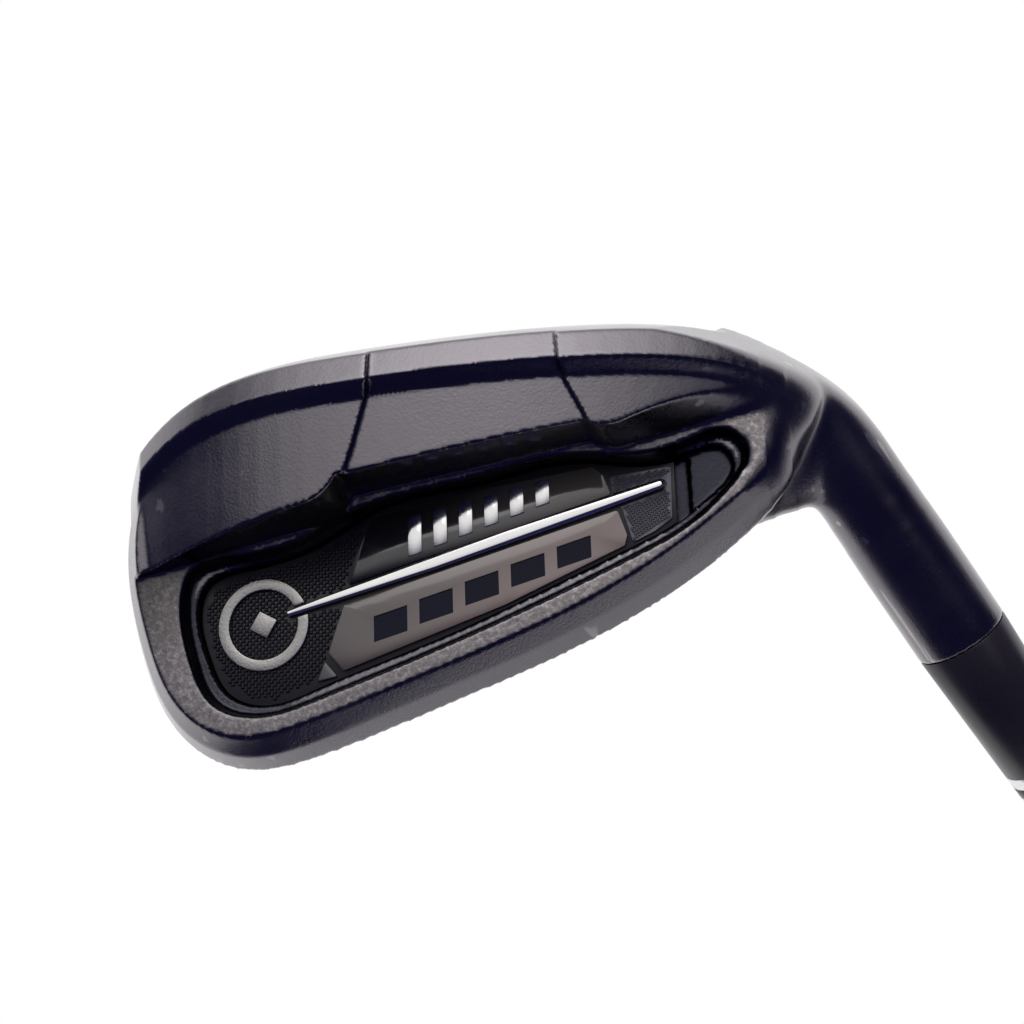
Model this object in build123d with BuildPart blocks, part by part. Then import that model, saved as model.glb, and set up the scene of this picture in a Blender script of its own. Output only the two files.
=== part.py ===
"""Iron golf club: cavity-back head with a bonded badge, ferrule, stepped steel shaft and rubber grip.

The origin is the centre of the grip's butt end and +Z runs up the shaft axis towards the head.
The toe points towards -X and the striking face towards +Y, so the back of the head faces -Y.
"""
from build123d import *
from math import cos, radians, sin
import os

os.makedirs("parts", exist_ok=True)

# ---- Driving dimensions, in mm and degrees ----
CLUB_LENGTH = 946.0          # butt end to the ground at the heel, along the shaft axis
LIE = 62.0                   # shaft to ground, seen from the front
LOFT = 31.0                  # face to vertical
AXIS_SETBACK = 2.3           # ground point of the shaft axis behind the leading edge

RIM_SHOULDER = 3.5           # height above the face where the rim's two bevels meet
RIM_BACK = 6.5               # height of the flat ledge round the cavity
CAVITY_STEP = 4.6            # height of the narrow step inside the cavity wall
CAVITY_FLOOR = 2.4           # thickness of the face behind the badge
HEEL_FLOOR = 3.5             # thickness of the face at the heel end of the cavity, beside the badge
HEEL_FLOOR_END = 6.05        # where that thicker floor ends, towards the toe
CHANNEL_DEPTH = 0.8          # recess of the middle of the sole between the two pads

SCORE_LINES = 10
SCORE_SPACING = 3.6
SCORE_FIRST = 8.0            # height of the lowest score line up the face
SCORE_START = 16.0
SCORE_END = 66.0
SCORE_WIDTH = 0.8
SCORE_DEPTH = 0.4

FILM_THICKNESS = 0.25        # adhesive under the badge
DAMPER_THICKNESS = 0.95
BADGE_CLEARANCE = 0.25       # badge to cavity wall
BADGE_HEEL_END = 7.9
BADGE_TOP = CAVITY_FLOOR + FILM_THICKNESS + DAMPER_THICKNESS
PLATE_THICKNESS = 0.5
MARK_POCKET = 0.25
MARK_LEAN = 0.13             # sideways lean of a mark, as a share of its height

HOSEL_DIAMETER = 13.0
HOSEL_HEIGHT = 57.4          # hosel end above the ground, along the shaft axis
HOSEL_END = CLUB_LENGTH - HOSEL_HEIGHT
SHAFT_BORE = 9.6
SHAFT_INSERTION = 28.0

SHAFT_TIP = 9.4
SHAFT_BUTT = 15.2
SHAFT_WALL = 0.55
SHAFT_STEPS = 14
SHAFT_STEP_LENGTH = 31.0
SHAFT_BUTT_LENGTH = 330.0    # length of the parallel section at the butt

FERRULE_LENGTH = 27.6
FERRULE_END = 10.9
RING_WIDTH = 1.8
RING_OFFSETS = (20.2, 23.7)  # hosel end to the near edge of each ring
RING_SEAT = 0.6              # depth of the groove under each ring
TIP_WEIGHT_LENGTH = 14.0
BAND_START = 281.0
BAND_LENGTH = 30.0
BAND_THICKNESS = 0.1

GRIP_LENGTH = 267.0
GRIP_BUTT = 26.8
GRIP_MOUTH = 16.8
GRIP_TAPE = 0.15
CAP_HEIGHT = 6.0
VENT_HOLE = 4.5

# ---- Planes of the head ----
lie_angle, loft_angle = radians(LIE), radians(LOFT)
toe_dir = Vector(-sin(lie_angle), 0, cos(lie_angle))
up_dir = Vector(-cos(lie_angle), 0, -sin(lie_angle))
topline_dir = Vector(-cos(lie_angle) * cos(loft_angle), -sin(loft_angle), -sin(lie_angle) * cos(loft_angle))
back_dir = Vector(cos(lie_angle) * sin(loft_angle), -cos(loft_angle), sin(lie_angle) * sin(loft_angle))
ground_point = Vector(0, 0, CLUB_LENGTH)
face_origin = ground_point + AXIS_SETBACK * Vector(0, 1, 0)

# Face plane: x runs from heel to toe, y up the face, z out of the back of the head.
face_plane = Plane(origin=face_origin, x_dir=toe_dir, z_dir=back_dir)
# Address planes: seen from the back, and seen from the toe, with y straight up from the ground.
front_plane = Plane(origin=ground_point, x_dir=toe_dir, z_dir=(0, -1, 0))
side_plane = Plane(origin=ground_point, x_dir=(0, 1, 0), z_dir=toe_dir)
face_axis = Axis(face_origin, back_dir)


def across(toe):
    """Plane across the head at a distance towards the toe: x up the face, y out of the back."""
    return Plane(origin=face_plane.from_local_coords((toe, 0, 0)), x_dir=topline_dir, z_dir=toe_dir)


def on_sole(rise, depth):
    """Height up the face of a point of the sole: its rise over the ground at a depth behind the face."""
    return (rise + depth * sin(loft_angle)) / cos(loft_angle)


# ---- Outlines on the face plane ----
BLADE_OUTLINE = [
    (0.4, 35.7), (20.9, 47.4), (41.4, 54.9), (56.0, 59.7), (66.0, 60.9), (74.6, 56.4),
    (80.8, 44.7), (83.2, 28.0), (80.0, 18.6), (71.0, 12.0), (60.0, 8.6), (47.0, 7.0),
    (32.0, 6.6), (18.0, 7.0), (6.0, 9.0), (-4.0, 13.4), (-8.2, 19.5), (-7.6, 28.0),
]
CAVITY_OUTLINE = [
    (9.9, 36.7), (24.9, 43.0), (39.9, 48.6), (54.8, 53.6), (62.6, 55.2), (68.6, 53.2),
    (71.9, 47.0), (73.3, 39.4), (72.3, 35.4), (66.0, 33.4), (56.6, 31.7), (52.0, 29.4),
    (47.0, 27.7), (33.0, 25.4), (20.0, 23.7), (12.9, 24.5), (6.0, 23.2), (0.3, 22.4),
    (-1.6, 24.9), (1.4, 30.8),
]
FLOOR_OUTLINE = [
    (10.8, 35.1), (25.6, 41.2), (40.5, 46.8), (55.3, 51.7), (62.4, 53.4), (67.2, 51.6),
    (70.1, 46.4), (71.4, 39.6), (70.4, 36.8), (65.6, 34.9), (56.4, 32.9), (51.4, 30.4),
    (46.8, 28.1), (33.0, 25.8), (20.0, 24.1), (12.9, 25.2), (6.2, 24.6), (1.4, 24.4),
    (0.4, 26.2), (3.4, 30.4),
]
# Edge of the sole mass towards the cavity: to the toe, up the face, and how far it is drawn back
# towards the sole at PAD_DRAFT_HEIGHT above the rim.
TOE_PAD_EDGE = [(92.0, 37.6, 0.8), (73.0, 34.4, 0.8), (62.0, 32.1, 0.8), (54.5, 30.6, 0.8)]
TOE_PAD_CORNER = [(54.5, 30.6, 0.8), (51.4, 29.4, 0.6), (49.4, 26.9, 0.3)]
HEEL_PAD_CORNER = [(18.0, 22.4, 0.3), (16.2, 23.4, 0.8), (13.2, 23.6, 1.8)]
HEEL_PAD_EDGE = [(13.2, 23.6, 1.8), (9.9, 22.9, 3.6), (3.3, 21.5, 7.0), (-14.0, 17.0, 16.0)]
PAD_DRAFT_HEIGHT = 13.5
CHANNEL_OUTLINE = [
    (44.5, 2.0), (44.5, 15.5), (45.3, 17.1), (47.1, 23.0), (49.6, 30.0), (15.8, 26.0),
    (17.6, 21.6), (19.9, 16.5), (20.2, 15.1), (21.3, 2.0),
]
# Elliptical form that rounds the toe end of the sole mass: centre, radii, draw over its height.
TOE_FORM_CENTRE = (10.0, 22.0)
TOE_FORM_RADII = (74.2, 62.0)
TOE_FORM_DRAW = 15.0
TOE_FORM_HEIGHT = 26.0
# Heel of the sole on the front address plane, up to the outer side of the hosel.
HEEL_CURVE = [(15.0, 0.8), (8.5, 2.2), (0.2, 5.3), (-9.0, 10.9), (-15.4, 16.8), (-20.6, 24.8)]
# Sections of the neck: toe distance, height and depth of the centre, two radii, tilt.
NECK_STATIONS = [
    (-13.0, 19.0, -8.7, 8.8, 5.4, -31.0), (-6.0, 19.4, -2.8, 12.2, 5.4, -20.0),
    (0.0, 20.9, 1.8, 13.3, 4.3, -8.0), (8.0, 23.2, 3.6, 14.6, 2.9, 0.0),
]
# Sections of the sole mass: toe distance, sole height over the ground, depth, top edge.
SOLE_STATIONS = [
    (-12.0, 11.6, 0.5, 22.0), (-4.0, 5.6, 10.0, 27.0), (6.0, 2.0, 14.5, 32.0), (18.0, 0.45, 17.2, 36.0),
    (32.0, 0.0, 18.4, 40.0), (47.0, 0.35, 18.4, 40.0), (60.0, 1.6, 17.0, 40.0), (70.0, 4.8, 14.2, 40.0),
    (79.0, 11.6, 10.0, 40.0), (88.0, 20.0, 5.0, 46.0),
]
SOLE_CAMBER = 1.5            # rise of the middle of the sole over its trailing edge
FRONT_ALLOWANCE = 4.0        # the blade is made this much too thick, then faced off flat

# ---- Outlines of the badge on the face plane ----
SOLE_SIDE_PLATE = [(48.0, 29.4), (51.4, 38.1), (16.2, 29.0), (17.1, 26.3), (18.4, 25.1), (33.0, 26.8)]
TOPLINE_SIDE_PLATE = [
    (51.6, 40.8), (53.7, 47.0), (51.7, 49.4), (30.4, 42.4), (20.3, 38.2), (14.7, 35.9), (14.3, 34.6),
    (15.4, 31.2),
]
CORNER_WEDGE = [(54.3, 47.9), (55.3, 50.6), (52.5, 50.1)]
HEEL_PANEL = [
    (16.3, 26.6), (15.9, 28.9), (14.7, 31.3), (13.6, 35.5), (10.8, 34.3), (8.5, 32.8), (8.3, 25.9),
]
BAR_TOE = Vector(59.0, 41.3)
BAR_HEEL = Vector(9.8, 28.3)
BAR_WAIST = 0.45             # where the bar is widest, as a share of its length from the toe end
BAR_HALF_WIDTHS = (0.4, 0.92, 0.55)
BAR_HEIGHT = 1.0
BAR_GAP = 0.3
EMBLEM_CENTRE = (62.6, 42.5)
EMBLEM_RADIUS = 6.2
EMBLEM_STROKE = 1.55
EMBLEM_CORE = 2.0
BADGE_SLANT = 14.8           # degrees from the score lines to the bar
SOLE_SIDE_MARKS = [(42.0 - 3.4 * mark, 32.2 - 0.85 * mark, 5.0 - 0.35 * mark) for mark in range(6)]
TOPLINE_SIDE_MARKS = [(45.4 - 6.05 * mark, 43.7 - 1.87 * mark, 3.3 - 0.12 * mark) for mark in range(5)]


def loft_sole_mass(recess):
    """Sole and pads as one loft across the head, its back drawn in by a recess."""
    sections = []
    for toe, rise, depth, top in SOLE_STATIONS:
        back = depth - recess
        trailing = (on_sole(rise + 0.7, back - 1.0), back - 1.0)
        strip = (trailing[0] + 3.9, back)
        step = (strip[0] + 1.5, back - 2.3)
        pad = (top, back - 3.4)
        low_depth = 0.57 * (depth - 1.0 + FRONT_ALLOWANCE) - FRONT_ALLOWANCE
        middle = (on_sole(rise + SOLE_CAMBER, low_depth), low_depth)
        leading = (on_sole(rise + 4.4, -FRONT_ALLOWANCE), -FRONT_ALLOWANCE)
        with BuildSketch(across(toe)) as section:
            with BuildLine():
                ThreePointArc(leading, middle, trailing)
                Polyline(trailing, strip, step, pad, (top, -FRONT_ALLOWANCE), leading)
            make_face()
        sections.append(section.sketch)
    loft(sections)


def drawn_in(points, inset):
    """Points of a closed outline, each moved inwards by an inset square to its neighbours."""
    moved = []
    for index, point in enumerate(points):
        ahead = points[(index + 1) % len(points)]
        behind = points[index - 1]
        along = Vector(ahead[0] - behind[0], ahead[1] - behind[1]).normalized()
        moved.append((point[0] + inset * along.Y, point[1] - inset * along.X))
    return moved


def sketch_outline(points, inset, height):
    """Closed smooth outline through points, drawn in by an inset, on a plane parallel to the face."""
    with BuildSketch(face_plane.offset(height)) as outline:
        with BuildLine():
            Spline(*drawn_in(points, inset), periodic=True)
        make_face()
    return outline.sketch


def sketch_cavity_side(height):
    """Everything on the cavity side of the pads, at a height above the rim."""
    share = height / PAD_DRAFT_HEIGHT

    def at_height(points):
        return [(toe, up - share * draft) for toe, up, draft in points]

    with BuildSketch(face_plane.offset(RIM_BACK + height)) as cavity_side:
        with BuildLine():
            Spline(*at_height(TOE_PAD_EDGE))
            Spline(*at_height(TOE_PAD_CORNER))
            Line(at_height(TOE_PAD_CORNER)[-1], at_height(HEEL_PAD_CORNER)[0])
            Spline(*at_height(HEEL_PAD_CORNER))
            Spline(*at_height(HEEL_PAD_EDGE))
            Polyline(at_height(HEEL_PAD_EDGE)[-1], (-14.0, 90.0), (92.0, 90.0), at_height(TOE_PAD_EDGE)[0])
        make_face()
    return cavity_side.sketch


def sketch_toe_form(draw, height):
    """Ellipse parallel to the face that the toe end of the sole mass is kept inside."""
    with BuildSketch(face_plane.offset(height)) as toe_form:
        with Locations(TOE_FORM_CENTRE):
            Ellipse(TOE_FORM_RADII[0] - draw, TOE_FORM_RADII[1] - draw)
    return toe_form.sketch


def sketch_badge(height):
    """Outline of the badge at a height above the face: the cavity floor, less a clearance."""
    with BuildSketch(face_plane.offset(height)) as outline:
        with BuildLine():
            Spline(*drawn_in(FLOOR_OUTLINE, BADGE_CLEARANCE), periodic=True)
        make_face()
        with Locations((BADGE_HEEL_END, 0)):
            Rectangle(100, 200, align=(Align.MIN, Align.CENTER), mode=Mode.INTERSECT)
    return outline.sketch


def sketch_bar(clearance):
    """Outline of the bar at the top of the damper, let out by a clearance."""
    square = (BAR_HEEL - BAR_TOE).normalized().rotate(Axis.Z, 90)
    waist = BAR_TOE + (BAR_HEEL - BAR_TOE) * BAR_WAIST
    toe_side, waist_side, heel_side = [square * (half + clearance) for half in BAR_HALF_WIDTHS]
    toe_end, heel_end = toe_side.rotate(Axis.Z, 90), heel_side.rotate(Axis.Z, -90)
    with BuildSketch(face_plane.offset(BADGE_TOP)) as bar:
        with BuildLine():
            ThreePointArc(BAR_TOE + toe_side, waist + waist_side, BAR_HEEL + heel_side)
            ThreePointArc(BAR_HEEL + heel_side, BAR_HEEL + heel_end, BAR_HEEL - heel_side)
            ThreePointArc(BAR_HEEL - heel_side, waist - waist_side, BAR_TOE - toe_side)
            ThreePointArc(BAR_TOE - toe_side, BAR_TOE + toe_end, BAR_TOE + toe_side)
        make_face()
    return bar.sketch


def sketch_trim(points, radius):
    """Outline of a flat trim piece with rounded corners, at the top of the damper."""
    with BuildSketch(face_plane.offset(BADGE_TOP)) as trim:
        with BuildLine():
            Polyline(*points, close=True)
        make_face()
        fillet(trim.vertices(), radius)
    return trim.sketch


def sketch_marks(marks, length, height):
    """Row of slanted blocks at a height above the face."""
    with BuildSketch(face_plane.offset(height)) as row:
        for toe, up, tall in marks:
            lean = MARK_LEAN * tall
            with Locations((toe, up)):
                Polygon(
                    (-length / 2 - lean, -tall / 2), (length / 2 - lean, -tall / 2),
                    (length / 2 + lean, tall / 2), (-length / 2 + lean, tall / 2),
                    rotation=BADGE_SLANT,
                )
    return row.sketch


def ferrule_radius(offset):
    """Outer radius of the ferrule at a distance from the hosel end."""
    return HOSEL_DIAMETER / 2 - (HOSEL_DIAMETER - FERRULE_END) / 2 * offset / FERRULE_LENGTH


def step_corners(wall):
    """Corners of the stepped shaft from butt to tip as radius and height, inside a wall thickness."""
    drop = (SHAFT_BUTT - SHAFT_TIP) / 2 / SHAFT_STEPS
    radius = SHAFT_BUTT / 2 - wall
    corners = [(radius, CAP_HEIGHT)]
    for step in range(SHAFT_STEPS):
        height = SHAFT_BUTT_LENGTH + step * SHAFT_STEP_LENGTH
        corners += [(radius, height), (radius - drop, height + 0.8)]
        radius -= drop
    return corners + [(radius, HOSEL_END + SHAFT_INSERTION)]


# ---- Head: one investment casting of stainless steel with a bored hosel ----
with BuildPart() as middle_of_sole:
    loft_sole_mass(CHANNEL_DEPTH)
    with BuildSketch(face_plane.offset(-5)):
        with BuildLine():
            Polyline(*CHANNEL_OUTLINE, close=True)
        make_face()
    extrude(amount=35, mode=Mode.INTERSECT)

with BuildPart() as neck_and_hosel:
    # Heel of the blade, turned into the hosel by sections that grow into its round.
    for toe, height, depth, long_radius, short_radius, tilt in NECK_STATIONS:
        with BuildSketch(across(toe)):
            with Locations((height, depth)):
                Ellipse(long_radius, short_radius, rotation=tilt)
    loft()
    with BuildSketch(Plane.XY.offset(HOSEL_END)):
        Circle(HOSEL_DIAMETER / 2)
    extrude(amount=HOSEL_HEIGHT - 4)
    # The front of the hosel is drawn back to the leading edge below the bend.
    with BuildSketch(side_plane):
        with BuildLine():
            ThreePointArc((6.6, 29.0), (3.4, 13.0), (-3.5, 1.0))
            Polyline((-3.5, 1.0), (-3.5, -10.0), (20.0, -10.0), (20.0, 29.0), (6.6, 29.0))
        make_face()
    extrude(amount=40, both=True, mode=Mode.SUBTRACT)

with BuildPart() as head_body:
    loft_sole_mass(0)
    with BuildSketch(face_plane.offset(-5)):
        with BuildLine():
            Polyline(*CHANNEL_OUTLINE, close=True)
        make_face()
    extrude(amount=35, mode=Mode.SUBTRACT)
    add(middle_of_sole.part)
    # Toe end of the sole mass, drawn in from the face outwards.
    toe_form = [sketch_toe_form(-2.0, -5), sketch_toe_form(TOE_FORM_DRAW, TOE_FORM_HEIGHT)]
    loft(toe_form, ruled=True, mode=Mode.INTERSECT)
    # Perimeter rim, with a steep bevel below a flatter one, made too high and then cut level.
    rim = [
        sketch_outline(BLADE_OUTLINE, -1.5, -FRONT_ALLOWANCE),
        sketch_outline(BLADE_OUTLINE, 1.35, RIM_SHOULDER),
        sketch_outline(BLADE_OUTLINE, 4.3, RIM_BACK + 1.5),
    ]
    loft(rim, ruled=True)
    split(bisect_by=face_plane, keep=Keep.TOP)
    add(neck_and_hosel.part)
    # Heel of the sole, rounded up to the outer side of the hosel.
    with BuildSketch(front_plane):
        with BuildLine():
            Spline(*HEEL_CURVE)
            Polyline(HEEL_CURVE[-1], (-60.0, 24.8), (-60.0, -40.0), (15.0, -40.0), HEEL_CURVE[0])
        make_face()
    extrude(amount=60, both=True, mode=Mode.SUBTRACT)
    # Cavity side of the pads, cut down to the level of the rim.
    loft([sketch_cavity_side(0), sketch_cavity_side(18)], ruled=True, mode=Mode.SUBTRACT)
    # Cavity: a bevelled mouth, then a step down to the floor behind the badge.
    mouth = sketch_outline(CAVITY_OUTLINE, -0.2, RIM_BACK + 0.5)
    loft([mouth, sketch_outline(CAVITY_OUTLINE, 0.8, CAVITY_STEP)], ruled=True, mode=Mode.SUBTRACT)
    floor_edge = sketch_outline(FLOOR_OUTLINE, -0.1, RIM_BACK - 1)
    loft([floor_edge, sketch_outline(FLOOR_OUTLINE, 0, CAVITY_FLOOR)], ruled=True, mode=Mode.SUBTRACT)
    # Thicker floor at the heel end of the cavity, beside the badge.
    with BuildSketch(face_plane.offset(CAVITY_FLOOR - 0.2)):
        with BuildLine():
            Spline(*drawn_in(FLOOR_OUTLINE, -0.3), periodic=True)
        make_face()
        with Locations((HEEL_FLOOR_END, 0)):
            Rectangle(100, 200, align=(Align.MAX, Align.CENTER), mode=Mode.INTERSECT)
    extrude(amount=HEEL_FLOOR - CAVITY_FLOOR + 0.2)
    # Score lines across the face.
    with BuildSketch(face_plane.offset(-1)):
        for line in range(SCORE_LINES):
            with Locations(((SCORE_START + SCORE_END) / 2, SCORE_FIRST + line * SCORE_SPACING)):
                Rectangle(SCORE_END - SCORE_START, SCORE_WIDTH)
    extrude(amount=1 + SCORE_DEPTH, mode=Mode.SUBTRACT)
    # Bore for the shaft.
    with BuildSketch(Plane.XY.offset(HOSEL_END)):
        Circle(SHAFT_BORE / 2)
    extrude(amount=SHAFT_INSERTION + 2, mode=Mode.SUBTRACT)
head_body.part.label = "head_body"
export_step(head_body.part, "parts/head_body.step")

# ---- Badge: a soft damper bonded into the cavity, with hard trim pieces on it ----
with BuildPart() as badge_adhesive:
    extrude(sketch_badge(CAVITY_FLOOR), amount=FILM_THICKNESS)
badge_adhesive.part.label = "badge_adhesive"
export_step(badge_adhesive.part, "parts/badge_adhesive.step")

with BuildPart() as badge_damper:
    extrude(sketch_badge(CAVITY_FLOOR + FILM_THICKNESS), amount=DAMPER_THICKNESS)
badge_damper.part.label = "badge_damper"
export_step(badge_damper.part, "parts/badge_damper.step")

with BuildPart() as badge_sole_side_plate:
    extrude(sketch_trim(SOLE_SIDE_PLATE, 0.35), amount=PLATE_THICKNESS)
badge_sole_side_plate.part.label = "badge_sole_side_plate"
export_step(badge_sole_side_plate.part, "parts/badge_sole_side_plate.step")

with BuildPart() as badge_sole_side_marks:
    extrude(sketch_marks(SOLE_SIDE_MARKS, 1.9, BADGE_TOP + PLATE_THICKNESS), amount=0.2)
badge_sole_side_marks.part.label = "badge_sole_side_marks"
export_step(badge_sole_side_marks.part, "parts/badge_sole_side_marks.step")

with BuildPart() as badge_topline_side_plate:
    extrude(sketch_trim(TOPLINE_SIDE_PLATE, 0.4), amount=PLATE_THICKNESS)
    pockets = sketch_marks(TOPLINE_SIDE_MARKS, 4.6, BADGE_TOP + PLATE_THICKNESS)
    extrude(pockets, amount=-MARK_POCKET, mode=Mode.SUBTRACT)
badge_topline_side_plate.part.label = "badge_topline_side_plate"
export_step(badge_topline_side_plate.part, "parts/badge_topline_side_plate.step")

with BuildPart() as badge_topline_side_marks:
    fills = sketch_marks(TOPLINE_SIDE_MARKS, 4.6, BADGE_TOP + PLATE_THICKNESS - MARK_POCKET)
    extrude(fills, amount=0.1)
badge_topline_side_marks.part.label = "badge_topline_side_marks"
export_step(badge_topline_side_marks.part, "parts/badge_topline_side_marks.step")

with BuildPart() as badge_bar:
    extrude(sketch_bar(0), amount=BAR_HEIGHT)
    chamfer(badge_bar.faces().sort_by(face_axis)[-1].edges(), 0.25)
badge_bar.part.label = "badge_bar"
export_step(badge_bar.part, "parts/badge_bar.step")

with BuildPart() as badge_heel_panel:
    extrude(sketch_trim(HEEL_PANEL, 0.4), amount=0.3)
    extrude(sketch_bar(BAR_GAP), amount=1, mode=Mode.SUBTRACT)
badge_heel_panel.part.label = "badge_heel_panel"
export_step(badge_heel_panel.part, "parts/badge_heel_panel.step")

with BuildPart() as badge_corner_wedge:
    extrude(sketch_trim(CORNER_WEDGE, 0.2), amount=0.3)
badge_corner_wedge.part.label = "badge_corner_wedge"
export_step(badge_corner_wedge.part, "parts/badge_corner_wedge.step")

with BuildPart() as badge_emblem_ring:
    with BuildSketch(face_plane.offset(BADGE_TOP)):
        with Locations(EMBLEM_CENTRE):
            Circle(EMBLEM_RADIUS)
            Circle(EMBLEM_RADIUS - EMBLEM_STROKE, mode=Mode.SUBTRACT)
    extrude(amount=0.45)
    # Gap that the toe end of the bar runs through.
    extrude(sketch_bar(BAR_GAP), amount=1, mode=Mode.SUBTRACT)
badge_emblem_ring.part.label = "badge_emblem_ring"
export_step(badge_emblem_ring.part, "parts/badge_emblem_ring.step")

with BuildPart() as badge_emblem_core:
    with BuildSketch(face_plane.offset(BADGE_TOP)):
        with Locations(EMBLEM_CENTRE):
            RegularPolygon(EMBLEM_CORE, 4, rotation=BADGE_SLANT)
    extrude(amount=0.45)
badge_emblem_core.part.label = "badge_emblem_core"
export_step(badge_emblem_core.part, "parts/badge_emblem_core.step")

# ---- Shaft: stepped steel tube, its tip glued into the hosel ----
with BuildPart() as shaft:
    with BuildSketch(Plane.XZ):
        with BuildLine():
            Polyline(*step_corners(0), *reversed(step_corners(SHAFT_WALL)), close=True)
        make_face()
    revolve(axis=Axis.Z)
shaft.part.label = "shaft"
export_step(shaft.part, "parts/shaft.step")

with BuildPart() as shaft_epoxy:
    with BuildSketch(Plane.XY.offset(HOSEL_END)):
        Circle(SHAFT_BORE / 2)
        Circle(SHAFT_TIP / 2, mode=Mode.SUBTRACT)
    extrude(amount=SHAFT_INSERTION)
shaft_epoxy.part.label = "shaft_epoxy"
export_step(shaft_epoxy.part, "parts/shaft_epoxy.step")

with BuildPart() as tip_weight:
    with BuildSketch(Plane.XY.offset(HOSEL_END + SHAFT_INSERTION)):
        Circle(SHAFT_TIP / 2 - SHAFT_WALL)
    extrude(amount=-TIP_WEIGHT_LENGTH)
    chamfer(tip_weight.edges().filter_by(GeomType.CIRCLE), 0.8)
tip_weight.part.label = "tip_weight"
export_step(tip_weight.part, "parts/tip_weight.step")

with BuildPart() as shaft_band:
    with BuildSketch(Plane.XY.offset(BAND_START)):
        Circle(SHAFT_BUTT / 2 + BAND_THICKNESS)
        Circle(SHAFT_BUTT / 2, mode=Mode.SUBTRACT)
    extrude(amount=BAND_LENGTH)
shaft_band.part.label = "shaft_band"
export_step(shaft_band.part, "parts/shaft_band.step")

# ---- Ferrule: tapered plastic sleeve with two bright rings let into it ----
with BuildPart() as ferrule:
    with BuildSketch(Plane.XZ):
        with BuildLine():
            Polyline(
                (SHAFT_TIP / 2, HOSEL_END), (HOSEL_DIAMETER / 2, HOSEL_END),
                (FERRULE_END / 2, HOSEL_END - FERRULE_LENGTH), (SHAFT_TIP / 2, HOSEL_END - FERRULE_LENGTH),
                close=True,
            )
        make_face()
    revolve(axis=Axis.Z)
    for offset in RING_OFFSETS:
        with BuildSketch(Plane.XY.offset(HOSEL_END - offset)):
            Circle(HOSEL_DIAMETER)
            Circle(ferrule_radius(offset) - RING_SEAT, mode=Mode.SUBTRACT)
        extrude(amount=-RING_WIDTH, mode=Mode.SUBTRACT)
ferrule.part.label = "ferrule"
export_step(ferrule.part, "parts/ferrule.step")

with BuildPart() as ferrule_ring_head:
    with BuildSketch(Plane.XY.offset(HOSEL_END - RING_OFFSETS[0])):
        Circle(ferrule_radius(RING_OFFSETS[0]))
        Circle(ferrule_radius(RING_OFFSETS[0]) - RING_SEAT, mode=Mode.SUBTRACT)
    extrude(amount=-RING_WIDTH)
ferrule_ring_head.part.label = "ferrule_ring_head"
export_step(ferrule_ring_head.part, "parts/ferrule_ring_head.step")

with BuildPart() as ferrule_ring_shaft:
    with BuildSketch(Plane.XY.offset(HOSEL_END - RING_OFFSETS[1])):
        Circle(ferrule_radius(RING_OFFSETS[1]))
        Circle(ferrule_radius(RING_OFFSETS[1]) - RING_SEAT, mode=Mode.SUBTRACT)
    extrude(amount=-RING_WIDTH)
ferrule_ring_shaft.part.label = "ferrule_ring_shaft"
export_step(ferrule_ring_shaft.part, "parts/ferrule_ring_shaft.step")

# ---- Grip: rubber sleeve on tape, with a cap over the butt of the shaft ----
with BuildPart() as grip_tape:
    with BuildSketch(Plane.XY.offset(CAP_HEIGHT)):
        Circle(SHAFT_BUTT / 2 + GRIP_TAPE)
        Circle(SHAFT_BUTT / 2, mode=Mode.SUBTRACT)
    extrude(amount=GRIP_LENGTH - CAP_HEIGHT - 2)
grip_tape.part.label = "grip_tape"
export_step(grip_tape.part, "parts/grip_tape.step")

with BuildPart() as grip:
    with BuildSketch(Plane.XZ):
        with BuildLine():
            Spline(
                (GRIP_BUTT / 2, CAP_HEIGHT), (12.6, 40.0), (11.2, 110.0), (9.5, 200.0),
                (GRIP_MOUTH / 2, GRIP_LENGTH),
            )
            Polyline(
                (GRIP_MOUTH / 2, GRIP_LENGTH), (SHAFT_BUTT / 2 + GRIP_TAPE, GRIP_LENGTH),
                (SHAFT_BUTT / 2 + GRIP_TAPE, CAP_HEIGHT), (GRIP_BUTT / 2, CAP_HEIGHT),
            )
        make_face()
    revolve(axis=Axis.Z)
grip.part.label = "grip"
export_step(grip.part, "parts/grip.step")

with BuildPart() as grip_cap:
    with BuildSketch():
        Circle(GRIP_BUTT / 2)
    extrude(amount=CAP_HEIGHT)
    fillet(grip_cap.faces().sort_by(Axis.Z)[0].edges(), 2.6)
    with BuildSketch():
        Circle(VENT_HOLE / 2)
    extrude(amount=CAP_HEIGHT, mode=Mode.SUBTRACT)
grip_cap.part.label = "grip_cap"
export_step(grip_cap.part, "parts/grip_cap.step")
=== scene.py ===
import math
from collections import namedtuple
import bmesh
import bpy
from mathutils import Matrix, Vector


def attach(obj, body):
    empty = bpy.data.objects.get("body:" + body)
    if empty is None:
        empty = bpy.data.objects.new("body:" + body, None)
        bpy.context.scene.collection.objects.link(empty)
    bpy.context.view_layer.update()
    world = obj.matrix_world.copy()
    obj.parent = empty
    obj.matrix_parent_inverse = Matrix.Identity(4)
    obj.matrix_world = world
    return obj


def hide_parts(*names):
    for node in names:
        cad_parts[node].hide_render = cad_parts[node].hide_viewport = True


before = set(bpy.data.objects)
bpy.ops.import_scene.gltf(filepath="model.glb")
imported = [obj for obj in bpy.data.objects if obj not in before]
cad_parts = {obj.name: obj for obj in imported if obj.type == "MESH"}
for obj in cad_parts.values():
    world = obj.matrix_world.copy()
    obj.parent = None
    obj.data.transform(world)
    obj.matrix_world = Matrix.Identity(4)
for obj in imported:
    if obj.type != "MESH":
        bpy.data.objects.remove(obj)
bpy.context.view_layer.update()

MM = 0.001

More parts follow.
